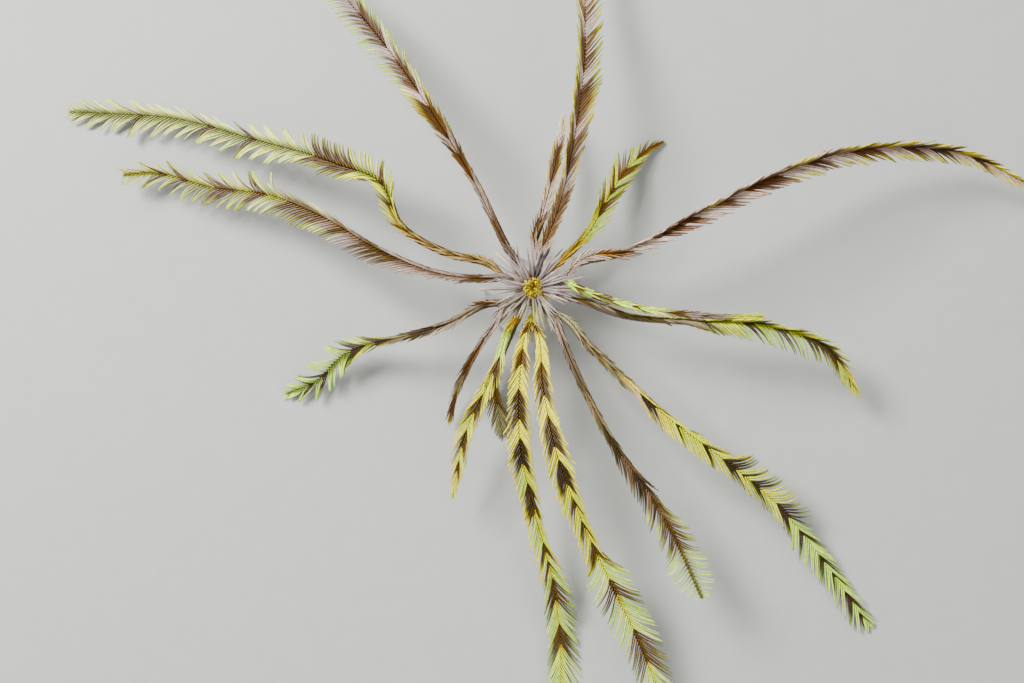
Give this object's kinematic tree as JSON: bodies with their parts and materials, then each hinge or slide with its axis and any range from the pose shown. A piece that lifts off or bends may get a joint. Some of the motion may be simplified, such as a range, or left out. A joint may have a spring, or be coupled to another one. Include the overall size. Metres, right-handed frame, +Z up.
{
  "type": "indian feather star",
  "caption": "Life-size feather star standing on its cirri, mouth side up, with long banded arms, each feathered with pinnules, spread round a small disc",
  "frame": {"origin": "The middle of the animal's footprint on the floor: the centre of its bounding box in X and Y, at the level that its legs and drooping arms rest on", "axes": "+Z up, mouth side up. +Y is the picture's upward direction and +X its right. The longest extent lies along X and the shortest along Z"},
  "size_m": [0.2861, 0.2262, 0.0323],
  "materials": {
    "arms": "satin",
    "rays": "satin",
    "disc": "satin",
    "centrodorsal": "matte",
    "cirri": "satin"
  },
  "bodies": {
    "root": {"arm_01": "arms", "arm_02_inner": "arms", "arm_02_outer": "arms", "arm_03": "arms", "arm_04_inner": "arms", "arm_04_middle": "arms", "arm_04_outer": "arms", "arm_05_inner": "arms", "arm_05_outer": "arms", "arm_06_inner": "arms", "arm_06_outer": "arms", "arm_07_inner": "arms", "arm_07_middle": "arms", "arm_07_outer": "arms", "arm_08_inner": "arms", "arm_08_outer": "arms", "arm_09_inner": "arms", "arm_09_middle": "arms", "arm_09_outer": "arms", "arm_10_inner": "arms", "arm_10_middle": "arms", "arm_10_outer": "arms", "arm_11": "arms", "arm_12": "arms", "arm_13_inner": "arms", "arm_13_outer": "arms", "arm_14_inner": "arms", "arm_14_middle": "arms", "arm_14_outer": "arms", "arm_15_inner": "arms", "arm_15_middle": "arms", "arm_15_outer": "arms", "arm_16_inner": "arms", "arm_16_outer": "arms", "arm_17": "arms", "centrodorsal": "centrodorsal", "cirrus_01": "cirri", "cirrus_02": "cirri", "cirrus_03": "cirri", "cirrus_04": "cirri", "cirrus_05": "cirri", "cirrus_06": "cirri", "cirrus_07": "cirri", "cirrus_08": "cirri", "cirrus_09": "cirri", "cirrus_10": "cirri", "cirrus_11": "cirri", "cirrus_12": "cirri", "cirrus_13": "cirri", "cirrus_14": "cirri", "cirrus_15": "cirri", "cirrus_16": "cirri", "disc": "disc", "ray_a": "rays", "ray_b": "rays", "ray_c": "rays", "ray_d": "rays", "ray_e": "rays"}
  },
  "joints": []
}
